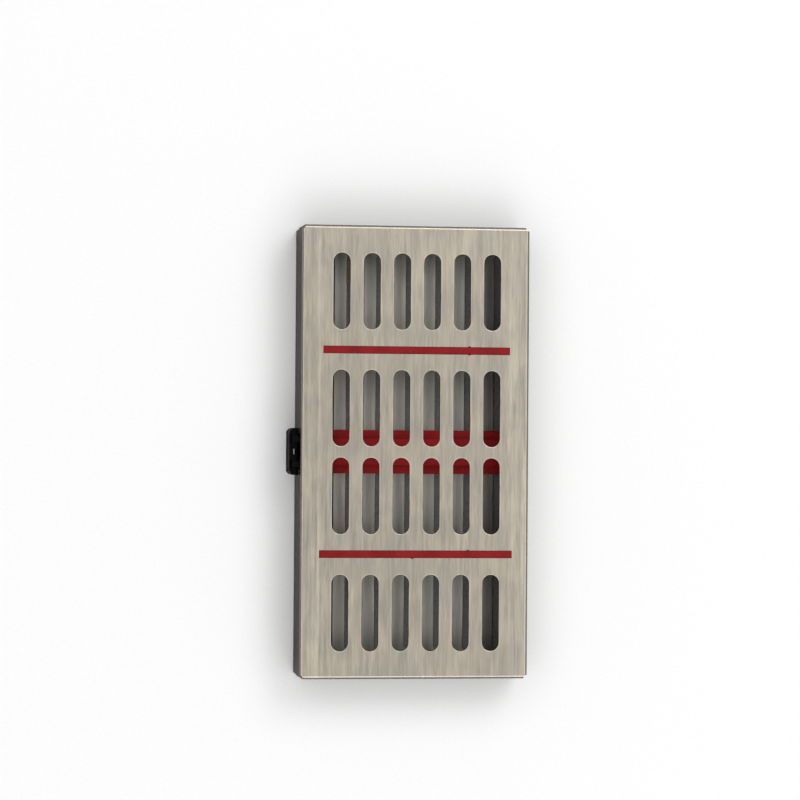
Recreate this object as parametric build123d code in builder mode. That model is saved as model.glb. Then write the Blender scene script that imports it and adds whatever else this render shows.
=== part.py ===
from build123d import *

import os

# Dental instrument cassette: two folded stainless trays hinged along one long side, with silicone
# combs, rails and a pad for six instruments, and a snap latch on the other long side.
# +X points to the hinge side, +Y along the length, +Z up. The origin is the middle of the underside.

# Trays
LENGTH = 180.0
WIDTH = 91.5
BASE_HEIGHT = 12.0
LID_HEIGHT = 11.7
PARTING_GAP = 0.3
SHEET = 0.8
BEND_RADIUS = 0.5
BASE_RELIEF = 1.2
LID_RELIEF = 1.4

# Lid slots, one column for each instrument
COLUMNS = 6
PITCH = 12.1
PATTERN_X = 0.5
SLOT_LENGTH = 30.2
SLOT_WIDTH = 6.6
MIDDLE_BRIDGE = 4.6
END_MARGIN = 11.1
ROLLED_EDGE = 0.25

# Drain slots in the base, with a land under each instrument
DRAIN_WIDTH = 7.0
DRAIN_SHIFT = 2.2
DRAIN_OVERRUN = 2.9
DRAIN_UNDER_PAD = 2.75

# Silicone combs in the base and rails in the lid
RAIL_TO_OUTER_ROW = 23.3
FRONT_ROOT_OVERHANG = 8.3
REAR_ROOT_OVERHANG = 7.1
ROOT_WIDTH = 2.8
ROOT_CLEARANCE = 0.12
ROOT_INSET = 0.05
RAIL_WIDTH = 8.0
RAIL_LIP = 1.2
RAIL_EDGE = 0.6
COMB_HEIGHT = 13.7
RAIL_DROP = 7.7
NOTCH_WIDTH = 6.4
NOTCH_DEPTH = 7.5
NOTCH_FILLET = 2.0
NICK_RADIUS = 0.7
NICK_DEPTH = 0.35
REAR_NICKS = ((21.6, 1), (21.6, -1))
FRONT_NICKS = ((21.4, 1), (-1.0, -1))

# Centre pad
PAD_LENGTH = 77.8
PAD_WIDTH = 17.5
PAD_THICKNESS = 3.4
RIDGE_WIDTH = 10.8
RIDGE_HEIGHT = 2.2
PEG_RADIUS = 1.9
PEG_CLEARANCE = 0.1
PEG_X = 27.0

# Hinges
HINGE_FROM_END = 32.0
HINGE_LENGTH = 26.0
KNUCKLES = 5
KNUCKLE_GAP = 0.3
KNUCKLE_RADIUS = 1.5
KNUCKLE_CLEARANCE = 0.35
PIN_RADIUS = 0.75
PIN_CLEARANCE = 0.05
PIN_END = 0.3
LEAF = 0.6
LEAF_HEIGHT = 7.0
HINGE_RIVET_SPACING = 16.0

# Rivets
SHANK_RADIUS = 1.0
SHANK_CLEARANCE = 0.04
HEAD_RADIUS = 1.7
HEAD_HEIGHT = 0.7
HEAD_CROWN = 0.5
COUNTERSINK_DEPTH = 0.5

# Latch
LATCH_LENGTH = 18.7
LATCH_AXIS_OUT = 2.3
LATCH_AXIS_DOWN = 4.5
BARREL_RADIUS = 1.9
FLAP_DROP = 13.5
FLAP_BACK = 1.25
FLAP_WAIST = 1.3
FLAP_TIP = 1.9
FLAP_FLARE = 0.2
FLAP_EDGE = 0.7
FLAP_CORNER = 2.4
POCKET_WALL = 1.7
POCKET_DEPTH = 1.2
POCKET_TOP = 2.1
RIM_HEIGHT = 2.0
LUG_SPACING = 10.0
LUG_WIDTH = 2.5
LUG_RADIUS = 1.3
LUG_GAP = 0.3
LUG_FRONT_GAP = 0.25
WINDOW_LENGTH = 2.2
PLATE = 0.6
BRACKET_LENGTH = 14.0
BRACKET_DROP = 6.6
BRACKET_TOP_DROP = 2.1
BRACKET_RIVET_SPACING = 9.0
KEEPER_LENGTH = 12.0
KEEPER_HEIGHT = 7.0
KEEPER_TOP_GAP = 0.6
KEEPER_RIVET_SPACING = 8.4
BEAD_LENGTH = 4.0
BEAD_HEIGHT = 0.3
BEAD_CLEARANCE = 0.4

# Places that follow from the sizes above
HEIGHT = BASE_HEIGHT + PARTING_GAP + LID_HEIGHT
LID_UNDERSIDE = HEIGHT - SHEET
SIDE = WIDTH / 2
OUTER_BEND = BEND_RADIUS + SHEET
INNER_ROW_Y = (MIDDLE_BRIDGE + SLOT_LENGTH) / 2
OUTER_ROW_Y = LENGTH / 2 - END_MARGIN - SLOT_LENGTH / 2
RAIL_Y = OUTER_ROW_Y - RAIL_TO_OUTER_ROW
ROOT_LENGTHS = {
    side: (COLUMNS - 1) * PITCH + 2 * overhang
    for side, overhang in ((-1, FRONT_ROOT_OVERHANG), (1, REAR_ROOT_OVERHANG))
}
HINGE_Y = LENGTH / 2 - HINGE_FROM_END
RAIL_LENGTHS = {side: length + 2 * RAIL_LIP for side, length in ROOT_LENGTHS.items()}
HINGE_X = SIDE - SHEET - LEAF + KNUCKLE_RADIUS
HINGE_Z = BASE_HEIGHT + PARTING_GAP / 2
KNUCKLE_REACH = KNUCKLE_RADIUS + KNUCKLE_CLEARANCE
LATCH_X = -SIDE - LATCH_AXIS_OUT
LATCH_Z = HEIGHT - LATCH_AXIS_DOWN
BORE_RADIUS = PIN_RADIUS + PIN_CLEARANCE
HOLE_RADIUS = SHANK_RADIUS + SHANK_CLEARANCE
ENDS = (("front", -1), ("rear", 1))
SEEK = 0.01


def section(y):
    """Plane across the length at y, with local x along X and local y along Z."""
    return Plane.XZ.offset(-y)


def slot_field(columns, width, centre_x, rows):
    """Columns of round-ended slots along Y. Each row is its middle and its length."""
    with BuildSketch() as field:
        for middle, length in rows:
            with Locations((centre_x, middle)):
                with GridLocations(PITCH, 1, columns, 1):
                    SlotOverall(length, width, rotation=90)
    return field.sketch


def corner_reliefs(size):
    """The cut at each corner, as long as size on each wall, that keeps two folded walls apart."""
    with BuildSketch() as cuts:
        for side_x in (-1, 1):
            for side_y in (-1, 1):
                x, y = side_x * WIDTH / 2, side_y * LENGTH / 2
                with BuildLine():
                    Polyline(
                        (x, y),
                        (x - side_x * size, y),
                        (x - side_x * size, y - side_y * SHEET),
                        (x - side_x * SHEET, y - side_y * size),
                        (x, y - side_y * size),
                        close=True,
                    )
                make_face()
    return cuts.sketch


def rail_slit(side):
    """Slit for a silicone root, grown by the root's clearance."""
    with BuildSketch() as slit:
        with Locations((PATTERN_X, side * RAIL_Y)):
            Rectangle(ROOT_LENGTHS[side] + 2 * ROOT_CLEARANCE, ROOT_WIDTH + 2 * ROOT_CLEARANCE)
    return slit.sketch


def slit_nicks(side, nicks):
    """Shallow round nicks along a slit. Each nick is its x and the edge that it is on."""
    from_middle = ROOT_WIDTH / 2 + ROOT_CLEARANCE + NICK_DEPTH - NICK_RADIUS
    with BuildSketch() as marks:
        for x, edge in nicks:
            with Locations((x, side * RAIL_Y + edge * from_middle)):
                Circle(NICK_RADIUS)
    return marks.sketch


def wall_points(x, spacing, z, middles):
    """Rivet places on a long wall: a pair about each middle."""
    return [(x, middle + half * spacing / 2, z) for middle in middles for half in (-1, 1)]


def rivet(grip, flush):
    """A set rivet along +Z. Its outer head is below Z = 0 or flush with it; its tail is past the grip."""
    upward = (Align.CENTER, Align.CENTER, Align.MIN)
    with BuildPart() as body:
        Cylinder(SHANK_RADIUS, grip, align=upward)
        with Locations((0, 0, grip)):
            Cylinder(HEAD_RADIUS, HEAD_HEIGHT, align=upward)
        fillet(body.faces().sort_by(Axis.Z)[-1].edges(), HEAD_CROWN)
        if flush:
            Cone(HEAD_RADIUS, SHANK_RADIUS, COUNTERSINK_DEPTH, align=upward)
        else:
            with Locations((0, 0, -HEAD_HEIGHT)):
                Cylinder(HEAD_RADIUS, HEAD_HEIGHT, align=upward)
            fillet(body.faces().sort_by(Axis.Z)[0].edges(), HEAD_CROWN)
    return body.part


def set_along_x(spots, direction):
    """Planes at the spots with local Z along X: direction 1 or -1."""
    return [Plane(spot, z_dir=(direction, 0, 0)) for spot in spots]


def rivet_hole(flush):
    """The space that a rivet needs along +Z, countersunk at Z = 0 for a flush head."""
    with BuildPart() as hole:
        Cylinder(HOLE_RADIUS, 4 * (SHEET + LEAF))
        if flush:
            Cone(
                HEAD_RADIUS + SHANK_CLEARANCE,
                HOLE_RADIUS,
                COUNTERSINK_DEPTH,
                align=(Align.CENTER, Align.CENTER, Align.MIN),
            )
    return hole.part


def flat_face(piece, z):
    """The largest flat face of the piece at height z."""
    return piece.faces().filter_by_position(Axis.Z, z - SEEK, z + SEEK).sort_by(SortBy.AREA)[-1]


def save(piece, name):
    """Label a finished part and write it as STEP."""
    piece.part.label = name
    export_step(piece.part, f"parts/{name}.step")


os.makedirs("parts", exist_ok=True)

lid_rows = [(side * row, SLOT_LENGTH) for row in (INNER_ROW_Y, OUTER_ROW_Y) for side in (-1, 1)]
inner_drain_start = PAD_WIDTH / 2 - DRAIN_UNDER_PAD
inner_drain_end = INNER_ROW_Y + SLOT_LENGTH / 2 + DRAIN_OVERRUN
inner_drain = (inner_drain_start + inner_drain_end) / 2
drain_rows = [(side * inner_drain, inner_drain_end - inner_drain_start) for side in (-1, 1)]
drain_rows += [(side * OUTER_ROW_Y, SLOT_LENGTH + 2 * DRAIN_OVERRUN) for side in (-1, 1)]

hinge_middles = [side * HINGE_Y for _, side in ENDS]
leaf_middle_down = HINGE_Z - KNUCKLE_REACH - LEAF_HEIGHT / 2
leaf_middle_up = HINGE_Z + KNUCKLE_REACH + LEAF_HEIGHT / 2
base_hinge_spots = wall_points(SIDE, HINGE_RIVET_SPACING, leaf_middle_down, hinge_middles)
lid_hinge_spots = wall_points(SIDE, HINGE_RIVET_SPACING, leaf_middle_up, hinge_middles)
bracket_bottom = LATCH_Z - BRACKET_DROP
bracket_top = LATCH_Z - BRACKET_TOP_DROP
bracket_middle = (bracket_bottom + bracket_top) / 2
bracket_spots = wall_points(-SIDE, BRACKET_RIVET_SPACING, bracket_middle, [0])
keeper_top = BASE_HEIGHT - KEEPER_TOP_GAP
keeper_middle = keeper_top - KEEPER_HEIGHT / 2
keeper_spots = wall_points(-SIDE, KEEPER_RIVET_SPACING, keeper_middle, [0])

# --- base tray ---
with BuildPart() as base_tray:
    with BuildSketch(Plane.XY):
        Rectangle(WIDTH, LENGTH)
    extrude(amount=BASE_HEIGHT)
    fillet(base_tray.faces().sort_by(Axis.Z)[0].edges(), OUTER_BEND)
    with BuildSketch(Plane.XY.offset(SHEET)):
        Rectangle(WIDTH - 2 * SHEET, LENGTH - 2 * SHEET)
    extrude(amount=BASE_HEIGHT, mode=Mode.SUBTRACT)
    fillet(flat_face(base_tray, SHEET).edges(), BEND_RADIUS)
    with BuildSketch(Plane.XY):
        add(corner_reliefs(BASE_RELIEF))
    extrude(amount=BASE_HEIGHT, mode=Mode.SUBTRACT)
    with BuildSketch(Plane.XY):
        add(slot_field(COLUMNS + 1, DRAIN_WIDTH, PATTERN_X + DRAIN_SHIFT, drain_rows))
    extrude(amount=SHEET, mode=Mode.SUBTRACT)
    fillet(flat_face(base_tray, SHEET).inner_wires().edges(), ROLLED_EDGE)
    with BuildSketch(Plane.XY):
        for _, side in ENDS:
            add(rail_slit(side))
        with Locations((PATTERN_X - PEG_X, 0), (PATTERN_X + PEG_X, 0)):
            Circle(PEG_RADIUS + PEG_CLEARANCE)
    extrude(amount=SHEET, mode=Mode.SUBTRACT)
    with BuildSketch(Plane.YZ.offset(SIDE - SHEET)):
        for middle in hinge_middles:
            with Locations((middle, HINGE_Z)):
                Rectangle(HINGE_LENGTH + 2 * KNUCKLE_CLEARANCE, 2 * KNUCKLE_REACH)
    extrude(amount=SHEET, mode=Mode.SUBTRACT)
    with Locations(*set_along_x(base_hinge_spots, -1)):
        add(rivet_hole(flush=True), mode=Mode.SUBTRACT)
    with Locations(*set_along_x(keeper_spots, 1)):
        add(rivet_hole(flush=False), mode=Mode.SUBTRACT)
save(base_tray, "base_tray")

# --- lid tray ---
with BuildPart() as lid_tray:
    with BuildSketch(Plane.XY.offset(HEIGHT - LID_HEIGHT)):
        Rectangle(WIDTH, LENGTH)
    extrude(amount=LID_HEIGHT)
    fillet(lid_tray.faces().sort_by(Axis.Z)[-1].edges(), OUTER_BEND)
    with BuildSketch(Plane.XY.offset(LID_UNDERSIDE)):
        Rectangle(WIDTH - 2 * SHEET, LENGTH - 2 * SHEET)
    extrude(amount=-LID_HEIGHT, mode=Mode.SUBTRACT)
    fillet(flat_face(lid_tray, LID_UNDERSIDE).edges(), BEND_RADIUS)
    with BuildSketch(Plane.XY.offset(HEIGHT)):
        add(corner_reliefs(LID_RELIEF))
    extrude(amount=-LID_HEIGHT, mode=Mode.SUBTRACT)
    with BuildSketch(Plane.XY.offset(HEIGHT)):
        add(slot_field(COLUMNS, SLOT_WIDTH, PATTERN_X, lid_rows))
    extrude(amount=-SHEET, mode=Mode.SUBTRACT)
    fillet(lid_tray.faces().sort_by(Axis.Z)[-1].inner_wires().edges(), ROLLED_EDGE)
    with BuildSketch(Plane.XY.offset(HEIGHT)):
        for _, side in ENDS:
            add(rail_slit(side))
        add(slit_nicks(1, REAR_NICKS))
        add(slit_nicks(-1, FRONT_NICKS))
    extrude(amount=-SHEET, mode=Mode.SUBTRACT)
    with BuildSketch(Plane.YZ.offset(SIDE - SHEET)):
        for middle in hinge_middles:
            with Locations((middle, HINGE_Z)):
                Rectangle(HINGE_LENGTH + 2 * KNUCKLE_CLEARANCE, 2 * KNUCKLE_REACH)
    extrude(amount=SHEET, mode=Mode.SUBTRACT)
    with Locations(*set_along_x(lid_hinge_spots, -1)):
        add(rivet_hole(flush=True), mode=Mode.SUBTRACT)
    with Locations(*set_along_x(bracket_spots, 1)):
        add(rivet_hole(flush=False), mode=Mode.SUBTRACT)
save(lid_tray, "lid_tray")

# --- silicone combs in the base ---
for end, side in ENDS:
    with BuildPart() as comb:
        with BuildSketch(section(side * RAIL_Y)):
            with Locations((PATTERN_X, SHEET)):
                Rectangle(RAIL_LENGTHS[side], COMB_HEIGHT, align=(Align.CENTER, Align.MIN))
            fillet(vertices().sort_by(Axis.Y)[-2:], RAIL_EDGE)
            with Locations((PATTERN_X, SHEET + COMB_HEIGHT)):
                with GridLocations(PITCH, 1, COLUMNS, 1):
                    Rectangle(
                        NOTCH_WIDTH, NOTCH_DEPTH, align=(Align.CENTER, Align.MAX), mode=Mode.SUBTRACT
                    )
            notch_floor = SHEET + COMB_HEIGHT - NOTCH_DEPTH
            bottoms = vertices().filter_by_position(Axis.Y, notch_floor - SEEK, notch_floor + SEEK)
            fillet(bottoms, NOTCH_FILLET)
        extrude(amount=RAIL_WIDTH / 2, both=True)
        with BuildSketch(Plane.XY.offset(ROOT_INSET)):
            with Locations((PATTERN_X, side * RAIL_Y)):
                Rectangle(ROOT_LENGTHS[side], ROOT_WIDTH)
        extrude(amount=SHEET)
    save(comb, f"base_comb_{end}")

# --- silicone rails under the lid ---
for end, side in ENDS:
    with BuildPart() as rail:
        with BuildSketch(section(side * RAIL_Y)):
            with Locations((PATTERN_X, LID_UNDERSIDE)):
                Rectangle(RAIL_LENGTHS[side], RAIL_DROP, align=(Align.CENTER, Align.MAX))
            fillet(vertices().sort_by(Axis.Y)[:2], RAIL_EDGE)
        extrude(amount=RAIL_WIDTH / 2, both=True)
        fillet(rail.faces().sort_by(Axis.Z)[0].edges().filter_by(Axis.X), RAIL_EDGE)
        with BuildSketch(Plane.XY.offset(HEIGHT - ROOT_INSET)):
            with Locations((PATTERN_X, side * RAIL_Y)):
                Rectangle(ROOT_LENGTHS[side], ROOT_WIDTH)
        extrude(amount=-SHEET)
    save(rail, f"lid_rail_{end}")

# --- centre pad with its raised middle and two pegs ---
with BuildPart() as centre_pad:
    with BuildSketch(Plane.XY.offset(SHEET)):
        with Locations((PATTERN_X, 0)):
            Rectangle(PAD_LENGTH, PAD_WIDTH)
    extrude(amount=PAD_THICKNESS)
    fillet(centre_pad.faces().sort_by(Axis.Z)[-1].edges(), RAIL_EDGE)
    with BuildSketch(Plane.XY.offset(SHEET + PAD_THICKNESS)):
        with Locations((PATTERN_X, 0)):
            Rectangle(PAD_LENGTH - 2 * RAIL_EDGE, RIDGE_WIDTH)
    extrude(amount=RIDGE_HEIGHT)
    fillet(centre_pad.faces().sort_by(Axis.Z)[-1].edges(), RAIL_EDGE)
    with BuildSketch(Plane.XY.offset(ROOT_INSET)):
        with Locations((PATTERN_X - PEG_X, 0), (PATTERN_X + PEG_X, 0)):
            Circle(PEG_RADIUS)
    extrude(amount=SHEET)
save(centre_pad, "centre_pad")


# --- hinges ---
knuckle_pitch = (HINGE_LENGTH + KNUCKLE_GAP) / KNUCKLES
knuckle_length = knuckle_pitch - KNUCKLE_GAP


def hinge_leaf(middle, up, first, spots):
    """One leaf: a plate inside the wall and rolled knuckles on the hinge line.

    up is 1 for the lid's leaf and -1 for the base's. first is the first knuckle that it carries.
    """
    with BuildPart() as leaf:
        with BuildSketch(Plane.YZ.offset(SIDE - SHEET)):
            with Locations((middle, HINGE_Z + up * (KNUCKLE_REACH + LEAF_HEIGHT / 2))):
                RectangleRounded(HINGE_LENGTH, LEAF_HEIGHT, BEND_RADIUS)
        extrude(amount=-LEAF)
        for index in range(first, KNUCKLES, 2):
            knuckle_middle = middle + (index - (KNUCKLES - 1) / 2) * knuckle_pitch
            with BuildSketch(section(knuckle_middle)):
                with Locations((HINGE_X, HINGE_Z)):
                    Circle(KNUCKLE_RADIUS)
                with Locations((HINGE_X - KNUCKLE_RADIUS + LEAF / 2, HINGE_Z + up * KNUCKLE_REACH / 2)):
                    Rectangle(LEAF, KNUCKLE_REACH + 2 * BEND_RADIUS)
            extrude(amount=knuckle_length / 2, both=True)
        with BuildSketch(section(middle)):
            with Locations((HINGE_X, HINGE_Z)):
                Circle(BORE_RADIUS)
        extrude(amount=HINGE_LENGTH, both=True, mode=Mode.SUBTRACT)
        with Locations(*set_along_x(spots, -1)):
            add(rivet_hole(flush=False), mode=Mode.SUBTRACT)
    return leaf


for (end, side), first_spot in zip(ENDS, (0, 2)):
    middle = side * HINGE_Y
    base_leaf = hinge_leaf(middle, -1, 0, base_hinge_spots[first_spot:first_spot + 2])
    save(base_leaf, f"base_hinge_leaf_{end}")
    lid_leaf = hinge_leaf(middle, 1, 1, lid_hinge_spots[first_spot:first_spot + 2])
    save(lid_leaf, f"lid_hinge_leaf_{end}")
    with BuildPart() as hinge_pin:
        with BuildSketch(section(middle)):
            with Locations((HINGE_X, HINGE_Z)):
                Circle(PIN_RADIUS)
        extrude(amount=HINGE_LENGTH / 2 + PIN_END, both=True)
        chamfer(hinge_pin.edges().filter_by(GeomType.CIRCLE), PIN_END / 2)
    save(hinge_pin, f"hinge_pin_{end}")

with BuildPart() as base_hinge_rivets:
    with Locations(*set_along_x(base_hinge_spots, -1)):
        add(rivet(SHEET + LEAF, flush=True))
save(base_hinge_rivets, "base_hinge_rivets")

with BuildPart() as lid_hinge_rivets:
    with Locations(*set_along_x(lid_hinge_spots, -1)):
        add(rivet(SHEET + LEAF, flush=True))
save(lid_hinge_rivets, "lid_hinge_rivets")

# --- latch bracket: a plate on the lid's wall with two lugs for the pin ---
lug_places = [side * LUG_SPACING / 2 for _, side in ENDS]
with BuildPart() as latch_bracket:
    with BuildSketch(Plane.YZ.offset(-SIDE)):
        with Locations((0, bracket_middle)):
            RectangleRounded(BRACKET_LENGTH, bracket_top - bracket_bottom, BEND_RADIUS)
        with Locations([(lug_y, bracket_middle) for lug_y in lug_places]):
            Rectangle(LUG_WIDTH, LATCH_Z + LUG_RADIUS - bracket_middle, align=(Align.CENTER, Align.MIN))
    extrude(amount=-PLATE)
    for lug_y in lug_places:
        with BuildSketch(section(lug_y)):
            with Locations((LATCH_X, LATCH_Z)):
                Circle(LUG_RADIUS)
            with Locations((-SIDE - PLATE / 2, LATCH_Z)):
                Rectangle(PLATE, 2 * LUG_RADIUS)
            make_hull()
        extrude(amount=LUG_WIDTH / 2, both=True)
    with BuildSketch(section(0)):
        with Locations((LATCH_X, LATCH_Z)):
            Circle(BORE_RADIUS)
    extrude(amount=LATCH_LENGTH, both=True, mode=Mode.SUBTRACT)
    with Locations(*set_along_x(bracket_spots, 1)):
        add(rivet_hole(flush=False), mode=Mode.SUBTRACT)
save(latch_bracket, "latch_bracket")

# --- latch flap: a moulded cover with a barrel at its top, hollow behind, and a window on its pin ---
with BuildPart() as latch_flap:
    with BuildSketch(section(0)):
        with Locations((LATCH_X, LATCH_Z)):
            Circle(BARREL_RADIUS)
        with BuildLine():
            front = Spline(
                (LATCH_X - BARREL_RADIUS, LATCH_Z),
                (LATCH_X - FLAP_WAIST, LATCH_Z - FLAP_DROP / 2),
                (LATCH_X - FLAP_TIP, LATCH_Z - FLAP_DROP),
                tangents=((0, -1), (-FLAP_FLARE, -1)),
            )
            Polyline(
                front @ 1,
                (LATCH_X + FLAP_BACK, LATCH_Z - FLAP_DROP),
                (LATCH_X + FLAP_BACK, LATCH_Z),
                front @ 0,
            )
        make_face()
    extrude(amount=LATCH_LENGTH / 2, both=True)
    tip = latch_flap.faces().sort_by(Axis.Z)[0].edges().sort_by(Axis.X)[0]
    fillet(tip, FLAP_EDGE)
    with BuildSketch(Plane.XY.offset(LATCH_Z - FLAP_DROP)):
        with Locations((LATCH_X - BARREL_RADIUS, 0)):
            Rectangle(4 * BARREL_RADIUS, LATCH_LENGTH, align=(Align.MIN, Align.CENTER))
        fillet(vertices().sort_by(Axis.X)[:2], FLAP_CORNER)
    extrude(amount=2 * FLAP_DROP, mode=Mode.INTERSECT)
    with BuildSketch(Plane.YZ.offset(LATCH_X + FLAP_BACK)):
        with BuildLine():
            pocket_half = LATCH_LENGTH / 2 - POCKET_WALL
            pocket_top = LATCH_Z - POCKET_TOP
            pocket_bottom = LATCH_Z - FLAP_DROP + RIM_HEIGHT
            Polyline(
                (-pocket_half, pocket_top),
                (pocket_half, pocket_top),
                (pocket_half, pocket_bottom),
                (-pocket_half, pocket_bottom),
                close=True,
            )
        make_face()
    extrude(amount=-POCKET_DEPTH, mode=Mode.SUBTRACT)
    lug_reach = LUG_RADIUS + LUG_FRONT_GAP
    for lug_y in lug_places:
        with BuildSketch(section(lug_y)):
            with Locations((LATCH_X - lug_reach, LATCH_Z - lug_reach)):
                Rectangle(4 * BARREL_RADIUS, 4 * BARREL_RADIUS, align=(Align.MIN, Align.MIN))
        extrude(amount=LUG_WIDTH / 2 + LUG_GAP, both=True, mode=Mode.SUBTRACT)
    with BuildSketch(section(0)):
        with Locations((LATCH_X, LATCH_Z)):
            Rectangle(2 * BORE_RADIUS, 2 * BARREL_RADIUS, align=(Align.CENTER, Align.MIN))
    extrude(amount=WINDOW_LENGTH / 2, both=True, mode=Mode.SUBTRACT)
    with BuildSketch(section(0)):
        with Locations((LATCH_X, LATCH_Z)):
            Circle(BORE_RADIUS)
    extrude(amount=LATCH_LENGTH, both=True, mode=Mode.SUBTRACT)
save(latch_flap, "latch_flap")

with BuildPart() as latch_pin:
    with BuildSketch(section(0)):
        with Locations((LATCH_X, LATCH_Z)):
            Circle(PIN_RADIUS)
    extrude(amount=LATCH_LENGTH / 2 - FLAP_EDGE, both=True)
    chamfer(latch_pin.edges().filter_by(GeomType.CIRCLE), PIN_END / 2)
save(latch_pin, "latch_pin")

with BuildPart() as latch_rivets:
    with Locations(*set_along_x(bracket_spots, 1)):
        with Locations((0, 0, -PLATE)):
            add(rivet(PLATE + SHEET, flush=False))
save(latch_rivets, "latch_rivets")

# --- keeper: a plate on the base's wall with the bead that the flap's rim snaps under ---
with BuildPart() as keeper_plate:
    with BuildSketch(Plane.YZ.offset(-SIDE)):
        with Locations((0, keeper_middle)):
            RectangleRounded(KEEPER_LENGTH, KEEPER_HEIGHT, BEND_RADIUS)
    extrude(amount=-PLATE)
    with BuildSketch(section(0)):
        with Locations((-SIDE - PLATE, LATCH_Z - FLAP_DROP + RIM_HEIGHT + BEAD_CLEARANCE)):
            Circle(BEAD_HEIGHT)
    extrude(amount=BEAD_LENGTH / 2, both=True)
    with Locations(*set_along_x(keeper_spots, 1)):
        with Locations((0, 0, -PLATE)):
            add(rivet_hole(flush=True), mode=Mode.SUBTRACT)
save(keeper_plate, "keeper_plate")

with BuildPart() as keeper_rivets:
    with Locations(*set_along_x(keeper_spots, 1)):
        with Locations((0, 0, -PLATE)):
            add(rivet(PLATE + SHEET, flush=True))
save(keeper_rivets, "keeper_rivets")
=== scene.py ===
import logging
import math
from dataclasses import dataclass
from enum import Enum
from typing import Callable, Sequence, Union

import bpy
from mathutils import Matrix, Vector


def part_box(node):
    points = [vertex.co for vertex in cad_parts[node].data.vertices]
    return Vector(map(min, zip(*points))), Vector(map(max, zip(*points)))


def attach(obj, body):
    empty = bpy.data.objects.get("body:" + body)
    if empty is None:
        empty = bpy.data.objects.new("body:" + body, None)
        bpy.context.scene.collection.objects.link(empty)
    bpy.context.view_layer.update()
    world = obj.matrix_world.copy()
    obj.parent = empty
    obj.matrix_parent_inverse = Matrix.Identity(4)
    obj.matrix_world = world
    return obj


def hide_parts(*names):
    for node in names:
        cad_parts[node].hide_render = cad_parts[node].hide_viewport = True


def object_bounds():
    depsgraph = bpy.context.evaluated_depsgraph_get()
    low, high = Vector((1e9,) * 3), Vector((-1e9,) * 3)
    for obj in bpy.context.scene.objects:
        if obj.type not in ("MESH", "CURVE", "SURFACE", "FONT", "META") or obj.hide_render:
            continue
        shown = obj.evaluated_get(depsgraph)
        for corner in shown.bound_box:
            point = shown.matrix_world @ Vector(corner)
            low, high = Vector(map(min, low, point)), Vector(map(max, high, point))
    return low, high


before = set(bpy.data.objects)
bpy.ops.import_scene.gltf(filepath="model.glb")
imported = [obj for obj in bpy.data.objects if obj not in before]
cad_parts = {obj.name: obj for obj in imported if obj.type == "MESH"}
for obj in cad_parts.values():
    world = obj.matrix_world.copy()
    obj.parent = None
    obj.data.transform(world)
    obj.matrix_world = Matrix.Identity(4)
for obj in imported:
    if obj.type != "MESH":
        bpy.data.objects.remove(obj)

# A dental instrument cassette: two brushed steel trays hinged on one long side, red silicone combs,
# rails and a pad inside them, and a black snap latch on the other long side. Lengths are in metres.

CAD_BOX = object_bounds()
MM = 0.001
WHITE = (1.0, 1.0, 1.0)

Colour = tuple[float, float, float]
Socket = bpy.types.NodeSocket
Value = Union[float, Socket]

logging.basicConfig(level=logging.INFO, format="%(name)s: %(message)s")
log = logging.getLogger("cassette")


class Slot(Enum):
    """The record's material slots."""

    SHEET = "brushed_sheet"
    SILICONE = "red_silicone"
    PLATE = "plain_plate"
    BRACKET = "black_plate"
    PIN = "drawn_pin"
    RIVET = "rivet_steel"
    LATCH = "black_latch"


class Body(Enum):
    """The rigid bodies that new pieces ride on."""

    BASE = "base"
    LID = "lid"


class End(Enum):
    """The two ends of the case, by the sign of Y."""

    FRONT = -1
    REAR = 1

    @property
    def word(self) -> str:
        """The end's name as CAD nodes spell it."""
        return self.name.lower()


@dataclass(frozen=True)
class CaseSizes:
    """Sizes that several sub-assemblies share."""

    sheet: float = 0.8 * MM
    columns: int = 6
    pitch: float = 12.1 * MM
    pattern_x: float = 0.5 * MM
    rail_lip: float = 1.2 * MM
    root_width: float = 2.8 * MM
    top: float = CAD_BOX[1][2]

    @property
    def column_places(self) -> list[float]:
        """The x of each instrument's column."""
        middle = (self.columns - 1) / 2
        return [self.pattern_x + (index - middle) * self.pitch for index in range(self.columns)]


CASE = CaseSizes()


# --- Node boards ---


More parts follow.
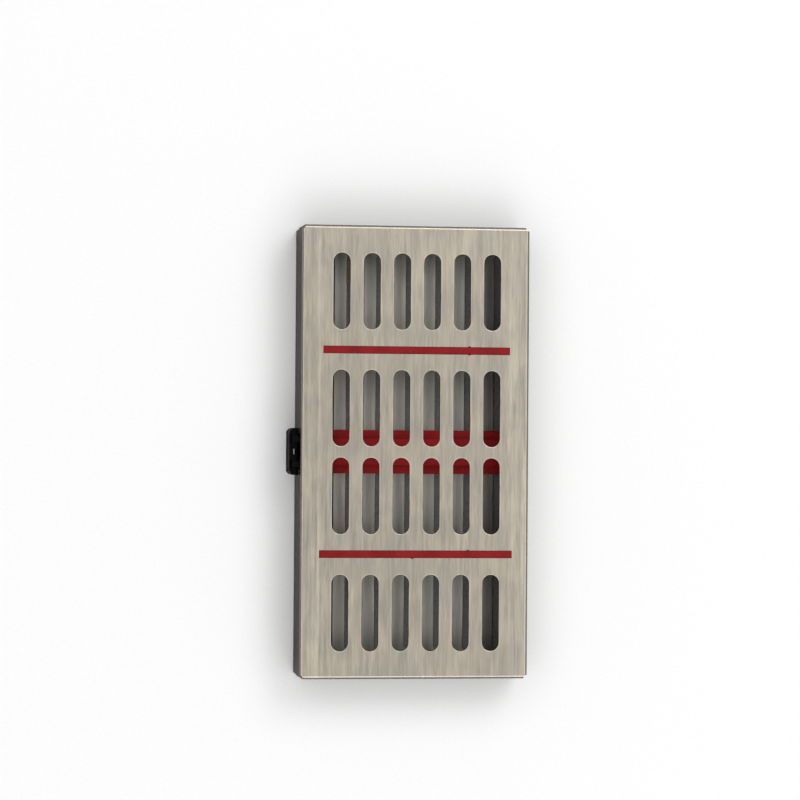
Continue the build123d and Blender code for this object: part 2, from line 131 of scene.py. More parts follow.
class Board:
    """A material's node tree with short calls for the nodes that the finishes share."""

    def __init__(self, name: str) -> None:
        """Start a material with one Principled shader.

        Args:
            name: The material's name.
        """
        self.material = bpy.data.materials.new(name)
        self.material.use_nodes = True
        self.tree = self.material.node_tree
        self.tree.nodes.clear()
        self.output = self.node("ShaderNodeOutputMaterial")
        self.shader = self.node("ShaderNodeBsdfPrincipled")
        self.join(self.shader.outputs["BSDF"], self.output.inputs["Surface"])
        coordinates = self.node("ShaderNodeTexCoord")
        self.place = coordinates.outputs["Object"]
        self.facing = coordinates.outputs["Normal"]

    def node(self, kind: str, **settings: object) -> bpy.types.Node:
        """Add a node.

        Args:
            kind: The node's type name.
            settings: Properties to set on it.

        Returns:
            The new node.
        """
        new = self.tree.nodes.new(kind)
        for key, value in settings.items():
            setattr(new, key, value)
        return new

    def join(self, source: Socket, target: Socket) -> None:
        """Link one socket to another."""
        self.tree.links.new(source, target)

    def feed(self, target: Socket, value: object) -> None:
        """Give a socket a link or a fixed value.

        Args:
            target: The input socket.
            value: A socket to link, or a number, colour or vector to set.
        """
        if isinstance(value, bpy.types.NodeSocket):
            self.join(value, target)
        elif isinstance(value, tuple) and target.type == "RGBA":
            target.default_value = (*value, 1.0)
        else:
            target.default_value = value

    def maths(self, operation: str, first: Value, second: Value = 0.0) -> Socket:
        """Combine two values.

        Args:
            operation: The Math node's operation.
            first: The first value.
            second: The second value, where the operation takes one.

        Returns:
            The result's socket.
        """
        new = self.node("ShaderNodeMath", operation=operation)
        self.feed(new.inputs[0], first)
        self.feed(new.inputs[1], second)
        return new.outputs[0]

    def axes(self) -> tuple[Socket, Socket, Socket]:
        """The object coordinates as three values."""
        split = self.node("ShaderNodeSeparateXYZ")
        self.join(self.place, split.inputs[0])
        return split.outputs[0], split.outputs[1], split.outputs[2]

    def facing_axes(self) -> tuple[Socket, Socket, Socket]:
        """How much the surface faces along each axis of its object, from 0 to 1."""
        split = self.node("ShaderNodeSeparateXYZ")
        self.join(self.facing, split.inputs[0])
        return tuple(self.maths("ABSOLUTE", split.outputs[axis]) for axis in range(3))

    def stretched(self, scale: Sequence[float]) -> Socket:
        """Object coordinates scaled by axis, in cycles per metre."""
        mapping = self.node("ShaderNodeMapping")
        self.join(self.place, mapping.inputs["Vector"])
        mapping.inputs["Scale"].default_value = scale
        return mapping.outputs["Vector"]

    def noise(
        self, place: Socket, detail: float = 3.0, roughness: float = 0.5, warp: float = 0.0
    ) -> Socket:
        """A noise value about 0.5.

        Args:
            place: Where it is read.
            detail: How many finer layers it has.
            roughness: How strong the finer layers are.
            warp: How much it is distorted.

        Returns:
            The value's socket.
        """
        new = self.node("ShaderNodeTexNoise")
        self.join(place, new.inputs["Vector"])
        new.inputs["Scale"].default_value = 1.0
        new.inputs["Detail"].default_value = detail
        new.inputs["Roughness"].default_value = roughness
        new.inputs["Distortion"].default_value = warp
        return new.outputs["Fac"]

    def remap(self, value: Value, start: float, end: float, low: float = 0.0, high: float = 1.0) -> Socket:
        """Move a value smoothly from one range to another, held at its ends.

        Args:
            value: The value to move.
            start: The input that gives low.
            end: The input that gives high.
            low: The result at start.
            high: The result at end.

        Returns:
            The result's socket.
        """
        new = self.node("ShaderNodeMapRange", interpolation_type="SMOOTHSTEP")
        wanted = {"Value": value, "From Min": start, "From Max": end, "To Min": low, "To Max": high}
        for key, item in wanted.items():
            self.feed(new.inputs[key], item)
        return new.outputs["Result"]

    def tint(self, factor: Value, first: object, second: object, blend: str = "MIX") -> Socket:
        """Mix two colours.

        Args:
            factor: How much of the second there is.
            first: A colour or a socket.
            second: A colour or a socket.
            blend: The way that they mix.

        Returns:
            The mixed colour's socket.
        """
        new = self.node("ShaderNodeMix", data_type="RGBA", blend_type=blend)
        wanted = {"Factor_Float": factor, "A_Color": first, "B_Color": second}
        for socket in new.inputs:
            if socket.identifier in wanted:
                self.feed(socket, wanted[socket.identifier])
        return next(socket for socket in new.outputs if socket.identifier == "Result_Color")

    def bump(
        self, height: Socket, depth: float, below: Socket | None = None, strength: float = 1.0
    ) -> Socket:
        """A normal that follows a height.

        Args:
            height: The height, from 0 to 1.
            depth: The real depth of a full step, in metres.
            below: The normal of a coarser layer.
            strength: How much of the relief shows.

        Returns:
            The normal's socket.
        """
        new = self.node("ShaderNodeBump")
        self.join(height, new.inputs["Height"])
        new.inputs["Distance"].default_value = depth
        new.inputs["Strength"].default_value = strength
        if below is not None:
            self.join(below, new.inputs["Normal"])
        return new.outputs["Normal"]


# --- Finishes ---


@dataclass(frozen=True)
class SlotField:
    """Rows of round-ended slots along Y, the same on both sides of the middle."""

    columns: int
    pitch: float
    centre_x: float
    width: float
    inner: tuple[float, float]
    outer: tuple[float, float]

    def distance(self, board: Board) -> Socket:
        """How far a point is from the nearest slot's edge, in the sheet's plane.

        Args:
            board: The node board to build on.

        Returns:
            The distance in metres, under zero inside a slot.
        """
        x, y, _ = board.axes()
        from_centre = board.maths("SUBTRACT", x, self.centre_x)
        first = -(self.columns - 1) / 2
        steps = board.maths("DIVIDE", from_centre, self.pitch)
        index = board.maths("ROUND", board.maths("SUBTRACT", steps, first))
        held = board.maths("MINIMUM", board.maths("MAXIMUM", index, 0.0), self.columns - 1.0)
        column = board.maths("MULTIPLY", board.maths("ADD", held, first), self.pitch)
        across = board.maths("SUBTRACT", from_centre, column)
        out = board.maths("ABSOLUTE", y)
        along = [
            board.maths(
                "MAXIMUM",
                board.maths(
                    "SUBTRACT",
                    board.maths("ABSOLUTE", board.maths("SUBTRACT", out, (start + end) / 2)),
                    (end - start - self.width) / 2,
                ),
                0.0,
            )
            for start, end in (self.inner, self.outer)
        ]
        nearest = board.maths("MINIMUM", *along)
        squares = [board.maths("MULTIPLY", side, side) for side in (across, nearest)]
        return board.maths("SUBTRACT", board.maths("SQRT", board.maths("ADD", *squares)), self.width / 2)


LID_SLOTS = SlotField(
    columns=CASE.columns,
    pitch=CASE.pitch,
    centre_x=CASE.pattern_x,
    width=6.6 * MM,
    inner=(2.3 * MM, 32.5 * MM),
    outer=(48.7 * MM, 78.9 * MM),
)
BASE_DRAINS = SlotField(
    columns=CASE.columns + 1,
    pitch=CASE.pitch,
    centre_x=CASE.pattern_x + 2.2 * MM,
    width=7.0 * MM,
    inner=(6.0 * MM, 35.4 * MM),
    outer=(45.8 * MM, 81.8 * MM),
)


@dataclass(frozen=True)
class Layer:
    """One layer of brushing: how fine it is and how far it darkens and lightens the steel."""

    across: float
    along: float
    swing: float
    detail: float = 3.0
    roughness: float = 0.55
    warp: float = 0.0


@dataclass(frozen=True)
class BrushedSheet:
    """Stainless sheet brushed along its length before it was folded."""

    name: str
    slots: SlotField
    steel: Colour = (0.492, 0.444, 0.358)
    grey_steel: Colour = (0.483, 0.440, 0.375)
    brown: Colour = (0.34, 0.20, 0.09)
    hair: Layer = Layer(2700.0, 150.0, 0.080, detail=2.0)
    scratch: Layer = Layer(1000.0, 42.0, 0.060, detail=4.0, roughness=0.7)
    streak: Layer = Layer(320.0, 11.0, 0.040, warp=0.15)
    blotch: Layer = Layer(90.0, 60.0, 0.025, detail=5.0, warp=0.4)
    handled: Layer = Layer(430.0, 8.0, 0.280, detail=3.0, warp=0.1)
    handled_from: float = 36.0 * MM
    handled_to: float = 39.5 * MM
    warmth_grain: tuple[float, float, float] = (90.0, 60.0, 90.0)
    brown_grain: tuple[float, float, float] = (170.0, 120.0, 170.0)
    brown_share: float = 0.75
    wall_from: float = 0.94
    wall_full: float = 0.74
    # painted shade on the walls: a darker base colour and a darker reflection tint
    painted_wall_shade: Colour = (0.46, 0.48, 0.51)
    painted_wall_reflection_shade: Colour = (0.18, 0.18, 0.19)
    wall_polish: float = -0.10
    roughness: tuple[float, float] = (0.29, 0.39)
    smear: float = 0.04
    hair_depth: float = 0.003 * MM
    wave_depth: float = 0.010 * MM
    edge_band: float = 0.55 * MM
    # painted highlight: a lighter band along each slot's edge, standing for light caught by the rolled
    # edge
    painted_edge_highlight: float = 0.16
    painted_highlight_band: float = 0.9 * MM

    def grain(self, board: Board, layer: Layer) -> Socket:
        """A layer's pattern, stretched the way the sheet was brushed, round the folds too.

        Args:
            board: The node board to build on.
            layer: The layer of brushing.

        Returns:
            The pattern's socket, about 0.5.
        """
        flat = board.stretched((layer.across, layer.along, layer.across))
        end_wall = board.stretched((layer.across, layer.along, layer.along))
        _, along_case, _ = board.facing_axes()
        place = board.tint(board.maths("GREATER_THAN", along_case, 0.7), flat, end_wall)
        return board.noise(place, layer.detail, layer.roughness, layer.warp)

    def material(self) -> bpy.types.Material:
        """Build the finish.

        Returns:
            The material.
        """
        board = Board(self.name)
        layers = (self.hair, self.scratch, self.streak, self.blotch)
        hair, scratch, streak, blotch = patterns = [self.grain(board, layer) for layer in layers]
        tone = 1.0
        for pattern, layer in zip(patterns, layers):
            swing = board.remap(pattern, 0.25, 0.75, 1.0 - layer.swing, 1.0 + layer.swing)
            tone = board.maths("MULTIPLY", tone, swing)
        out = board.maths("ABSOLUTE", board.axes()[0])
        rubbed = board.remap(self.grain(board, self.handled), 0.45, 0.72, 0.0, self.handled.swing)
        margin = board.remap(out, self.handled_from, self.handled_to)
        tone = board.maths("ADD", tone, board.maths("MULTIPLY", rubbed, margin))
        from_slot = self.slots.distance(board)
        # Lighter band along each slot's edge: a painted highlight of the rolled edge.
        tone = board.maths("ADD", tone, board.remap(from_slot, 0.0, self.painted_highlight_band, self.painted_edge_highlight, 0.0))
        warmth = board.noise(board.stretched(self.warmth_grain), detail=5.0, warp=0.4)
        steel = board.tint(board.remap(warmth, 0.35, 0.65), self.grey_steel, self.steel)
        worked = board.tint(1.0, steel, tone, "MULTIPLY")
        near_edge = board.remap(from_slot, 0.0, self.edge_band, 1.0, 0.0)
        patch = board.noise(board.stretched(self.brown_grain), detail=2.0)
        browned = board.maths("MULTIPLY", near_edge, board.remap(patch, 0.57, 0.69, 0.0, self.brown_share))
        sheet = board.tint(browned, worked, self.brown)
        # Walls: base colour darkened and reflection tinted dark by how steeply the surface stands, a
        # painted shade for dark surroundings reflected in the walls.
        on_wall = board.remap(board.facing_axes()[2], self.wall_full, self.wall_from, 1.0, 0.0)
        skin = board.tint(on_wall, sheet, self.painted_wall_shade, "MULTIPLY")
        board.feed(board.shader.inputs["Base Color"], skin)
        board.shader.inputs["Metallic"].default_value = 1.0
        board.feed(board.shader.inputs["Specular Tint"], board.tint(on_wall, WHITE, self.painted_wall_reflection_shade))
        brushed = board.remap(scratch, 0.25, 0.75, *self.roughness)
        drawn = board.maths("MULTIPLY", on_wall, self.wall_polish)
        smear = board.remap(blotch, 0.4, 0.7, 0.0, self.smear)
        worn = board.maths("ADD", drawn, smear)
        board.feed(board.shader.inputs["Roughness"], board.maths("ADD", brushed, worn))
        wave = board.bump(streak, self.wave_depth)
        board.join(board.bump(hair, self.hair_depth, wave), board.shader.inputs["Normal"])
        return board.material


@dataclass(frozen=True)
class TurnedSteel:
    """Plain steel of small parts: plate, drawn pins and set rivets.

    Where bright_half is set, the part is painted near black, a painted shade, but for that length on each
    side of its middle.
    """

    name: str
    steel: Colour
    worn: Colour
    grain: tuple[float, float, float]
    roughness: tuple[float, float] = (0.26, 0.42)
    depth: float = 0.006 * MM
    bright_half: float | None = None
    painted_shade: Colour = (0.012, 0.012, 0.013)

    def material(self) -> bpy.types.Material:
        """Build the finish.

        Returns:
            The material.
        """
        board = Board(self.name)
        lines = board.noise(board.stretched(self.grain), detail=3.0, roughness=0.6)
        cloud = board.noise(board.stretched((260.0, 260.0, 260.0)), detail=4.0)
        tone = board.tint(board.remap(lines, 0.3, 0.7), self.worn, self.steel)
        smudge = board.remap(cloud, 0.45, 0.7, 0.0, 0.35)
        skin = board.tint(smudge, tone, self.worn)
        # Near black beyond the middle length: painted shade where the pin sits inside the barrel.
        if self.bright_half is not None:
            from_middle = board.maths("ABSOLUTE", board.axes()[1])
            painted_shade_mask = board.remap(from_middle, self.bright_half, self.bright_half * 1.4)
            skin = board.tint(painted_shade_mask, skin, self.painted_shade)
        board.feed(board.shader.inputs["Base Color"], skin)
        board.shader.inputs["Metallic"].default_value = 1.0
        board.feed(board.shader.inputs["Roughness"], board.remap(cloud, 0.3, 0.7, *self.roughness))
        board.join(board.bump(lines, self.depth), board.shader.inputs["Normal"])
        return board.material


@dataclass(frozen=True)
class MouldedSilicone:
    """Soft red silicone with a dull skin and a little lint on it."""

    name: str
    red: Colour = (0.250, 0.0100, 0.0118)
    deep_red: Colour = (0.195, 0.0075, 0.0090)
    dust: Colour = (0.34, 0.11, 0.11)
    skin_depth: float = 0.02 * MM

    def material(self) -> bpy.types.Material:
        """Build the finish.

        Returns:
            The material.
        """
        board = Board(self.name)
        cloud = board.noise(board.stretched((120.0, 120.0, 120.0)), detail=4.0)
        skin = board.noise(board.stretched((2200.0, 2200.0, 2200.0)), detail=3.0, roughness=0.6)
        lint = board.noise(board.stretched((620.0, 480.0, 620.0)), detail=2.0)
        body = board.tint(board.remap(cloud, 0.35, 0.7), self.red, self.deep_red)
        dusty = board.remap(lint, 0.66, 0.78, 0.0, 0.22)
        board.feed(board.shader.inputs["Base Color"], board.tint(dusty, body, self.dust))
        board.feed(board.shader.inputs["Roughness"], board.remap(skin, 0.3, 0.7, 0.50, 0.66))
        board.shader.inputs["Specular IOR Level"].default_value = 0.12
        board.join(board.bump(skin, self.skin_depth, strength=0.7), board.shader.inputs["Normal"])
        return board.material


@dataclass(frozen=True)
class Black:
    """A black skin with a fine grain: moulded plastic or lacquer."""

    name: str
    black: Colour = (0.0022, 0.0022, 0.0025)
    scuffed: Colour = (0.013, 0.0125, 0.012)
    shine: float = 0.03
    grain_depth: float = 0.012 * MM

    def material(self) -> bpy.types.Material:
        """Build the finish.

        Returns:
            The material.
        """
        board = Board(self.name)
        grain = board.noise(board.stretched((3000.0, 3000.0, 3000.0)), detail=2.0)
        scuff = board.noise(board.stretched((420.0, 160.0, 420.0)), detail=5.0, roughness=0.65)
        worn = board.remap(scuff, 0.60, 0.76, 0.0, 0.7)
        board.feed(board.shader.inputs["Base Color"], board.tint(worn, self.black, self.scuffed))
        board.feed(board.shader.inputs["Roughness"], board.remap(scuff, 0.35, 0.7, 0.5, 0.65))
        board.shader.inputs["Specular IOR Level"].default_value = self.shine
        board.join(board.bump(grain, self.grain_depth, strength=0.8), board.shader.inputs["Normal"])
        return board.material


class Finishes:
    """Every finish of the case, made once."""

    def __init__(self) -> None:
        """Build the materials."""
        self.lid_sheet = BrushedSheet("lid_sheet", LID_SLOTS).material()
        # The base's sheet is a darker, greyer copy of the lid's steel: painted shade for the inside of the
        # case. Its stronger, wider edge band is a painted highlight.
        self.base_sheet = BrushedSheet(
            "base_sheet",
            BASE_DRAINS,
            steel=(0.420, 0.398, 0.354),
            grey_steel=(0.405, 0.390, 0.356),
            painted_wall_shade=(0.54, 0.54, 0.53),
            painted_edge_highlight=0.30,
            painted_highlight_band=2.4 * MM,
        ).material()
        self.plate = TurnedSteel(
            "stamped_plate", (0.56, 0.545, 0.51), (0.42, 0.40, 0.37), (1500.0, 60.0, 1500.0)
        ).material()
        self.pin = TurnedSteel(
            "drawn_pin", (0.60, 0.585, 0.55), (0.45, 0.43, 0.40), (2600.0, 30.0, 2600.0)
        ).material()
        self.pin_with_painted_shade = TurnedSteel(
            "pin_with_painted_shade",
            (0.46, 0.36, 0.29),
            (0.30, 0.23, 0.18),
            (2600.0, 30.0, 2600.0),
            bright_half=1.4 * MM,
        ).material()
        self.rivet = TurnedSteel(
            "set_rivet", (0.57, 0.555, 0.52), (0.40, 0.385, 0.36), (900.0, 900.0, 900.0)
        ).material()
        self.silicone = MouldedSilicone("red_silicone_skin").material()
        # The pad's red is brighter than the combs' and rails': painted light for the little light that
        # reaches it inside the case.
        self.brightened_pad_silicone = MouldedSilicone(
            "brightened_pad_silicone_skin", red=(0.400, 0.0170, 0.0200), deep_red=(0.310, 0.0125, 0.0150)
        ).material()
        self.black = Black("latch_black").material()
        self.lacquer = Black("bracket_lacquer", shine=0.06, grain_depth=0.004 * MM).material()


# --- Modelling by hand, in metres ---


def deselect_all() -> None:
    """Leave nothing selected or active."""
    bpy.ops.object.select_all(action="DESELECT")
    bpy.context.view_layer.objects.active = None


def take(piece: bpy.types.Object) -> None:
    """Select one object alone and make it active."""
    deselect_all()
    piece.select_set(True)
    bpy.context.view_layer.objects.active = piece


def pick_faces(piece: bpy.types.Object, wanted: Callable[[bpy.types.MeshPolygon], bool]) -> None:
    """Enter edit mode with only the wanted faces selected.

    Args:
        piece: The mesh object.
        wanted: True for each face to select.
    """
    take(piece)
    bpy.ops.object.mode_set(mode="EDIT")
    bpy.ops.mesh.select_mode(type="FACE")
    bpy.ops.mesh.select_all(action="DESELECT")
    bpy.ops.object.mode_set(mode="OBJECT")
    for face in piece.data.polygons:
        face.select = wanted(face)
    bpy.ops.object.mode_set(mode="EDIT")


def pick_edges(piece: bpy.types.Object, wanted: Callable[[Vector, Vector], bool]) -> None:
    """Enter edit mode with only the wanted edges selected.

    Args:
        piece: The mesh object.
        wanted: True for each edge to select, from its two ends.
    """
    take(piece)
    bpy.ops.object.mode_set(mode="EDIT")
    bpy.ops.mesh.select_mode(type="EDGE")
    bpy.ops.mesh.select_all(action="DESELECT")
    bpy.ops.object.mode_set(mode="OBJECT")
    points = piece.data.vertices
    for edge in piece.data.edges:
        edge.select = wanted(points[edge.vertices[0]].co, points[edge.vertices[1]].co)
    bpy.ops.object.mode_set(mode="EDIT")


def leave_edit() -> None:
    """Go back to object mode."""
    bpy.ops.object.mode_set(mode="OBJECT")


def add_block(name: str, low: Vector, high: Vector) -> bpy.types.Object:
    """A block with its place in its mesh, as the start of a piece.

    Args:
        name: The object's name.
        low: Its lowest corner.
        high: Its highest corner.

    Returns:
        The object, at the origin.
    """
    deselect_all()
    bpy.ops.mesh.primitive_cube_add(size=1.0)
    block = bpy.context.object
    block.name = name
    bpy.ops.object.mode_set(mode="EDIT")
    bpy.ops.mesh.select_all(action="SELECT")
    bpy.ops.transform.resize(value=high - low)
    bpy.ops.transform.translate(value=(low + high) / 2)
    leave_edit()
    return block


def grow_face(piece: bpy.types.Object, up: int, shrink: tuple[float, float], rise: float) -> None:
    """Step a piece's top or bottom: draw its end face in on both sides, then pull it out.

    Args:
        piece: The mesh object.
        up: 1 for the highest face, -1 for the lowest.
        shrink: How far each edge comes in, along X and along Y.
        rise: How far the smaller face is pulled out.
    """
    end = max(up * vertex.co.z for vertex in piece.data.vertices)
    pick_faces(piece, lambda face: face.normal.z * up > 0.9 and abs(face.center.z * up - end) < 0.01 * MM)
    corners = [vertex.co for vertex in piece.data.vertices if abs(vertex.co.z * up - end) < 0.01 * MM]
    low = Vector(min(corner[axis] for corner in corners) for axis in range(3))
    high = Vector(max(corner[axis] for corner in corners) for axis in range(3))
    size = high - low
    factors = (1 - 2 * shrink[0] / size.x, 1 - 2 * shrink[1] / size.y, 1.0)
    bpy.ops.mesh.extrude_region()
    bpy.ops.transform.resize(value=factors, center_override=(low + high) / 2)
    bpy.ops.mesh.extrude_region_move(TRANSFORM_OT_translate={"value": (0.0, 0.0, up * rise)})
    leave_edit()


def combine(piece: bpy.types.Object, tool: bpy.types.Object, operation: str) -> None:
    """Cut a tool out of a piece, or join it on, and drop the tool.

    Args:
        piece: The mesh object that stays.
        tool: The mesh object that is used up.
        operation: DIFFERENCE or UNION.
    """
    take(piece)
    boolean = piece.modifiers.new("combine", "BOOLEAN")
    boolean.object = tool
    boolean.operation = operation
    boolean.solver = "EXACT"
    bpy.ops.object.modifier_apply(modifier=boolean.name)
    bpy.data.objects.remove(tool, do_unlink=True)


def repeat_along_x(tool: bpy.types.Object, places: Sequence[float]) -> bpy.types.Object:
    """Copy a tool to each x and join the copies.

    Args:
        tool: The mesh object, made about x = 0.
        places: The x of each copy.

    Returns:
        One object that holds all the copies.
    """
    copies = []
    for place in places:
        copy = tool.copy()
        copy.data = tool.data.copy()
        copy.data.transform(Matrix.Translation((place, 0.0, 0.0)))
        bpy.context.collection.objects.link(copy)
        copies.append(copy)
    bpy.data.objects.remove(tool, do_unlink=True)
    deselect_all()
    for copy in copies:
        copy.select_set(True)
    bpy.context.view_layer.objects.active = copies[0]
    bpy.ops.object.join()
    return bpy.context.object


def soften(piece: bpy.types.Object, radius: float, segments: int = 3, angle: float = 35.0) -> None:
    """Round every sharp edge and smooth the shading.

    Args:
        piece: The mesh object.
        radius: The edge's radius.
        segments: The faces across each edge.
        angle: The least angle between faces that counts as an edge, in degrees.
    """
    take(piece)
    bevel = piece.modifiers.new("soften", "BEVEL")
    bevel.width = radius
    bevel.segments = segments
    bevel.limit_method = "ANGLE"
    bevel.angle_limit = math.radians(angle)
    bpy.ops.object.modifier_apply(modifier=bevel.name)
    bpy.ops.object.shade_smooth_by_angle(angle=math.radians(angle))


def dress_node(name: str, slot: Slot, finish: bpy.types.Material) -> None:
    """Put a finish in a CAD node's slot.

    Args:
        name: The node's name.
        slot: The slot that the record gives it.
        finish: The material.
    """
    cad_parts[name].material_slots[slot.value].material = finish
    log.info("dressed %s in %s", name, finish.name)


def fit_piece(
    piece: bpy.types.Object, node: str, body: Body, finish: bpy.types.Material
) -> None:
    """Put a finished piece in its node's place, on its body.

    Args:
        piece: The mesh object.
        node: The CAD node that it stands for.
        body: The body that it rides on.
        finish: Its material.
    """
    piece.data.materials.clear()
    piece.data.materials.append(finish)
    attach(piece, body.value)
    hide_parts(node)
    log.info("made %s, %d faces", piece.name, len(piece.data.polygons))


# --- Sub-assemblies ---


@dataclass
class SiliconeComb:
    """A comb in the base: a bar with a round notch for each instrument and a root in the floor's slit."""

    end: End
    notch_width: float = 6.4 * MM
    notch_depth: float = 7.5 * MM
    notch_radius: float = 2.0 * MM
    mouth: float = 0.6 * MM
    edge: float = 0.35 * MM
    clear: float = 1.0 * MM

    @property
    def node(self) -> str:
        """The CAD node that it stands for."""
        return f"base_comb_{self.end.word}"

    def notch_tool(self, low: Vector, high: Vector) -> bpy.types.Object:
        """A notch's shape about x = 0, with a rounded floor and a flared mouth.

        Args:
            low: The comb's lowest corner.
            high: The comb's highest corner.

        Returns:
            The cutting tool.
        """
        half = self.notch_width / 2
        floor = high.z - self.notch_depth
        tool = add_block(
            "notch",
            Vector((-half, low.y - self.clear, floor)),
            Vector((half, high.y + self.clear, high.z + self.clear)),
        )
        near = 0.01 * MM
        pick_edges(
            tool,
            lambda a, b: max(abs(a.z - floor), abs(b.z - floor), abs(a.x - b.x)) < near,
        )
        bpy.ops.mesh.bevel(offset=self.notch_radius, segments=8)
        bpy.ops.mesh.select_all(action="SELECT")
        bpy.ops.mesh.bisect(plane_co=(0.0, 0.0, high.z - self.mouth), plane_no=(0.0, 0.0, 1.0))
        leave_edit()
        pick_faces(tool, lambda face: face.normal.z > 0.9 and face.center.z > high.z)
        spread = (half + self.mouth + self.clear) / half
        bpy.ops.transform.resize(value=(spread, 1.0, 1.0), center_override=(0.0, 0.0, 0.0))
        leave_edit()
        return tool

    def build(self, finishes: Finishes) -> None:
        """Model the comb and put it in place.

        Args:
            finishes: The case's materials.
        """
        low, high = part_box(self.node)
        comb = add_block(f"comb_{self.end.word}", Vector((low.x, low.y, CASE.sheet)), high)
        root_lip = (high.y - low.y - CASE.root_width) / 2
        grow_face(comb, -1, (CASE.rail_lip, root_lip), CASE.sheet - low.z)
        notches = repeat_along_x(self.notch_tool(low, high), CASE.column_places)
        combine(comb, notches, "DIFFERENCE")
        soften(comb, self.edge)
        fit_piece(comb, self.node, Body.BASE, finishes.silicone)


@dataclass
class SiliconeRail:
    """A rail under the lid that presses on the instruments. Its root fills the lid's slit."""

    end: End
    edge: float = 0.35 * MM
    root_edge: float = 0.12 * MM

    @property
    def node(self) -> str:
        """The CAD node that it stands for."""
        return f"lid_rail_{self.end.word}"

    def build(self, finishes: Finishes) -> None:
        """Model the rail and put it in place.

        Args:
            finishes: The case's materials.
        """
        low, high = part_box(self.node)
        underside = CASE.top - CASE.sheet
        rail = add_block(f"rail_{self.end.word}", low, Vector((high.x, high.y, underside)))
        near = 0.01 * MM
        pick_edges(rail, lambda a, b: abs(a.z - low.z) < near and abs(b.z - low.z) < near)
        bpy.ops.mesh.bevel(offset=self.edge * 2, segments=5)
        leave_edit()
        root_lip = (high.y - low.y - CASE.root_width) / 2
        grow_face(rail, 1, (CASE.rail_lip, root_lip), high.z - underside)
        soften(rail, self.root_edge, segments=2)
        fit_piece(rail, self.node, Body.LID, finishes.silicone)


@dataclass
class CentrePad:
    """The pad in the middle of the base: a thin slab with a raised middle and two pegs in the floor."""

    slab: float = 3.4 * MM
    ridge_width: float = 10.8 * MM
    ridge_inset: float = 0.6 * MM
    edge: float = 0.5 * MM
    peg_radius: float = 1.9 * MM
    peg_x: float = 27.0 * MM
    node: str = "centre_pad"

    def peg_tool(self, low: Vector) -> bpy.types.Object:
        """One peg about x = 0, sunk into the slab.

        Args:
            low: The pad's lowest corner.

        Returns:
            The peg.
        """
        deselect_all()
        height = CASE.sheet - low.z + self.slab / 2
        bpy.ops.mesh.primitive_cylinder_add(vertices=32, radius=1.0, depth=1.0)
        peg = bpy.context.object
        bpy.ops.object.mode_set(mode="EDIT")
        bpy.ops.mesh.select_all(action="SELECT")
        bpy.ops.transform.resize(value=(self.peg_radius, self.peg_radius, height))
        bpy.ops.transform.translate(value=(0.0, 0.0, low.z + height / 2))
        leave_edit()
        return peg

    def build(self, finishes: Finishes) -> None:
        """Model the pad and put it in place.

        Args:
            finishes: The case's materials.
        """
        low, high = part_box(self.node)
        slab_top = CASE.sheet + self.slab
        pad = add_block("pad", Vector((low.x, low.y, CASE.sheet)), Vector((high.x, high.y, slab_top)))
        shoulder = (high.y - low.y - self.ridge_width) / 2
        grow_face(pad, 1, (self.ridge_inset, shoulder), high.z - slab_top)
        places = [CASE.pattern_x + side * self.peg_x for side in (-1, 1)]
        combine(pad, repeat_along_x(self.peg_tool(low), places), "UNION")
        soften(pad, self.edge, segments=4)
        fit_piece(pad, self.node, Body.BASE, finishes.brightened_pad_silicone)


@dataclass
class Trays:
    """The two folded trays."""

    def build(self, finishes: Finishes) -> None:
        """Dress both trays."""
        dress_node("base_tray", Slot.SHEET, finishes.base_sheet)
        dress_node("lid_tray", Slot.SHEET, finishes.lid_sheet)


@dataclass
class Hinges:
    """The two hinges: their leaves, pins and rivets."""

    def build(self, finishes: Finishes) -> None:
        """Dress every piece of both hinges."""
        for end in End:
            for part in ("base", "lid"):
                dress_node(f"{part}_hinge_leaf_{end.word}", Slot.PLATE, finishes.plate)
            dress_node(f"hinge_pin_{end.word}", Slot.PIN, finishes.pin)
        for part in ("base", "lid"):
            dress_node(f"{part}_hinge_rivets", Slot.RIVET, finishes.rivet)


@dataclass
class Latch:
    """The latch: its bracket, pin, flap, keeper and rivets."""

    def build(self, finishes: Finishes) -> None:
        """Dress every piece of the latch."""
        dress_node("latch_bracket", Slot.BRACKET, finishes.lacquer)
        dress_node("keeper_plate", Slot.PLATE, finishes.plate)
        dress_node("latch_rivets", Slot.RIVET, finishes.rivet)
        dress_node("keeper_rivets", Slot.RIVET, finishes.rivet)
        dress_node("latch_pin", Slot.PIN, finishes.pin_with_painted_shade)
        dress_node("latch_flap", Slot.LATCH, finishes.black)


# --- Studio ---


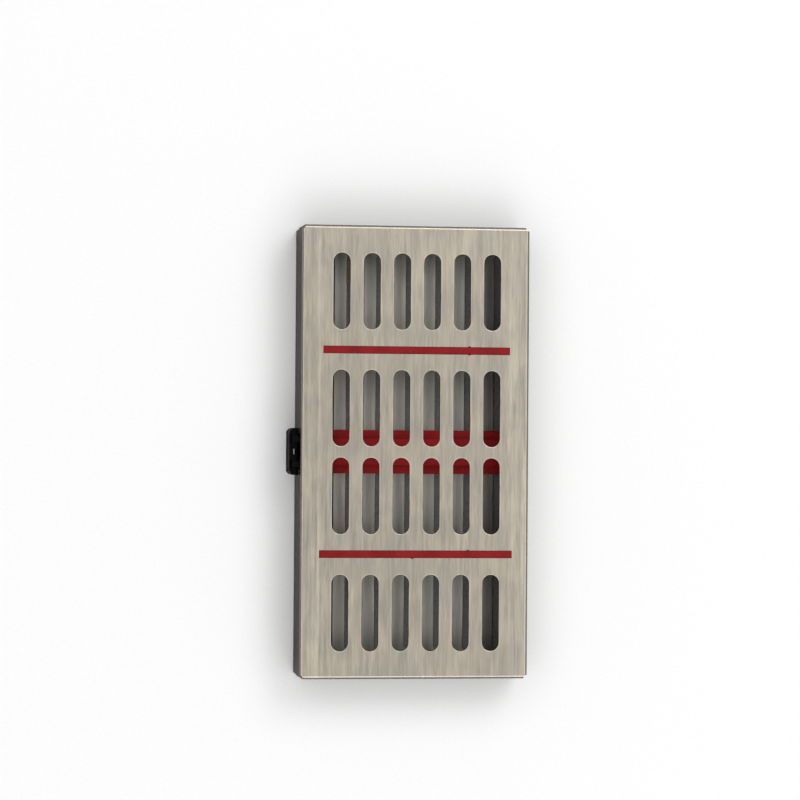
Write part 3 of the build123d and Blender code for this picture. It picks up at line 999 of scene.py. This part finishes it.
@dataclass
class Studio:
    """A white table, soft light from all round and the camera."""

    table_size: float = 12.0
    table_gap: float = 0.05 * MM
    # The dark card under the case is painted shade for the drains to look down on.
    shade_card_margin: float = 4.0 * MM
    shade_card_tones: tuple[Colour, Colour] = ((0.17, 0.17, 0.165), (0.22, 0.22, 0.215))
    table_tones: tuple[Colour, Colour] = ((0.90, 0.90, 0.90), (0.92, 0.92, 0.92))
    sky_levels: tuple[tuple[float, float], ...] = (
        (0.0, 0.90),
        (0.12, 0.80),
        (0.30, 0.35),
        (0.60, 0.35),
        (0.75, 1.60),
        (0.90, 1.60),
        (0.95, 0.48),
        (1.0, 0.46),
    )
    key_place: tuple[float, float, float] = (0.6, 1.0, 1.5)
    key_size: float = 0.9
    key_power: float = 6.5
    fill_place: tuple[float, float, float] = (0.2, -1.3, 1.4)
    fill_size: float = 1.0
    fill_power: float = 4.0
    camera_place: tuple[float, float, float] = (-0.17236, 0.00535, 1.20362)
    camera_turn: tuple[float, float, float] = (0.6824, -8.0204, 0.4065)
    lens: float = 135.0
    sensor: float = 36.0

    def spread(
        self, name: str, size: tuple[float, float], down: float, tones: tuple[Colour, Colour]
    ) -> None:
        """Lay a flat sheet under the case.

        Args:
            name: The sheet's name.
            size: Its size along X and along Y.
            down: How far it lies below the case.
            tones: Its colour and the colour of its fibres.
        """
        deselect_all()
        bpy.ops.mesh.primitive_plane_add(size=1.0)
        sheet = bpy.context.object
        sheet.name = name
        bpy.ops.object.mode_set(mode="EDIT")
        bpy.ops.mesh.select_all(action="SELECT")
        bpy.ops.transform.resize(value=(*size, 1.0))
        bpy.ops.transform.translate(value=(0.0, 0.0, -down))
        leave_edit()
        board = Board(f"{name}_surface")
        fibre = board.noise(board.stretched((900.0, 900.0, 900.0)), detail=3.0)
        board.feed(board.shader.inputs["Base Color"], board.tint(board.remap(fibre, 0.3, 0.7), *tones))
        board.shader.inputs["Roughness"].default_value = 0.9
        board.shader.inputs["Specular IOR Level"].default_value = 0.1
        sheet.data.materials.append(board.material)

    def table(self) -> None:
        """A wide white table, and a dark card under the case that the drains look down on: painted shade
        for the dark under the case.
        """
        low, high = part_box("base_tray")
        card = high - low - Vector((self.shade_card_margin, self.shade_card_margin, 0.0))
        self.spread("table", (self.table_size, self.table_size), self.table_gap, self.table_tones)
        self.spread("card", (card.x, card.y), self.table_gap / 2, self.shade_card_tones)

    def sky(self) -> None:
        """A pale room with a wide ring of light overhead. Levels go by height: 0 level, 1 overhead."""
        world = bpy.data.worlds.new("pale_room")
        world.use_nodes = True
        bpy.context.scene.world = world
        tree = world.node_tree
        tree.nodes.clear()
        output = tree.nodes.new("ShaderNodeOutputWorld")
        way = tree.nodes.new("ShaderNodeTexCoord")
        split = tree.nodes.new("ShaderNodeSeparateXYZ")
        tree.links.new(way.outputs["Generated"], split.inputs[0])
        ramp = tree.nodes.new("ShaderNodeValToRGB")
        ramp.color_ramp.interpolation = "EASE"
        for height, _ in self.sky_levels[1:-1]:
            ramp.color_ramp.elements.new(height)
        brightest = max(level for _, level in self.sky_levels)
        for element, (height, level) in zip(ramp.color_ramp.elements, self.sky_levels):
            element.position = height
            element.color = (*(level / brightest for _ in WHITE), 1.0)
        tree.links.new(split.outputs[2], ramp.inputs["Fac"])
        room = tree.nodes.new("ShaderNodeBackground")
        room.inputs["Strength"].default_value = brightest
        tree.links.new(ramp.outputs["Color"], room.inputs["Color"])
        tree.links.new(room.outputs["Background"], output.inputs["Surface"])

    def lamp(self, name: str, place: tuple[float, float, float], size: float, power: float) -> None:
        """A soft lamp that looks at the case.

        Args:
            name: The lamp's name.
            place: Where it stands.
            size: Its side.
            power: Its power in watts.
        """
        light = bpy.data.lights.new(name, "AREA")
        light.size = size
        light.energy = power
        lamp = bpy.data.objects.new(name, light)
        lamp.location = place
        lamp.rotation_euler = (-Vector(place)).to_track_quat("-Z", "Y").to_euler()
        bpy.context.collection.objects.link(lamp)

    def camera(self) -> None:
        """The camera, nearly overhead and a little towards the latch."""
        data = bpy.data.cameras.new("camera")
        data.lens = self.lens
        data.sensor_width = self.sensor
        data.clip_end = 100.0
        camera = bpy.data.objects.new("camera", data)
        camera.location = self.camera_place
        camera.rotation_euler = [math.radians(turn) for turn in self.camera_turn]
        bpy.context.collection.objects.link(camera)
        bpy.context.scene.camera = camera

    def build(self) -> None:
        """Set the stage."""
        self.camera()
        self.table()
        self.sky()
        self.lamp("key", self.key_place, self.key_size, self.key_power)
        self.lamp("fill", self.fill_place, self.fill_size, self.fill_power)
        bpy.context.scene.view_settings.view_transform = "Standard"
        log.info("set the stage")


def main() -> None:
    """Build the case, piece by piece, and its stage."""
    finishes = Finishes()
    Studio().build()
    Trays().build(finishes)
    Hinges().build(finishes)
    Latch().build(finishes)
    for end in End:
        SiliconeComb(end).build(finishes)
        SiliconeRail(end).build(finishes)
    CentrePad().build(finishes)


if __name__ == "__main__":
    main()
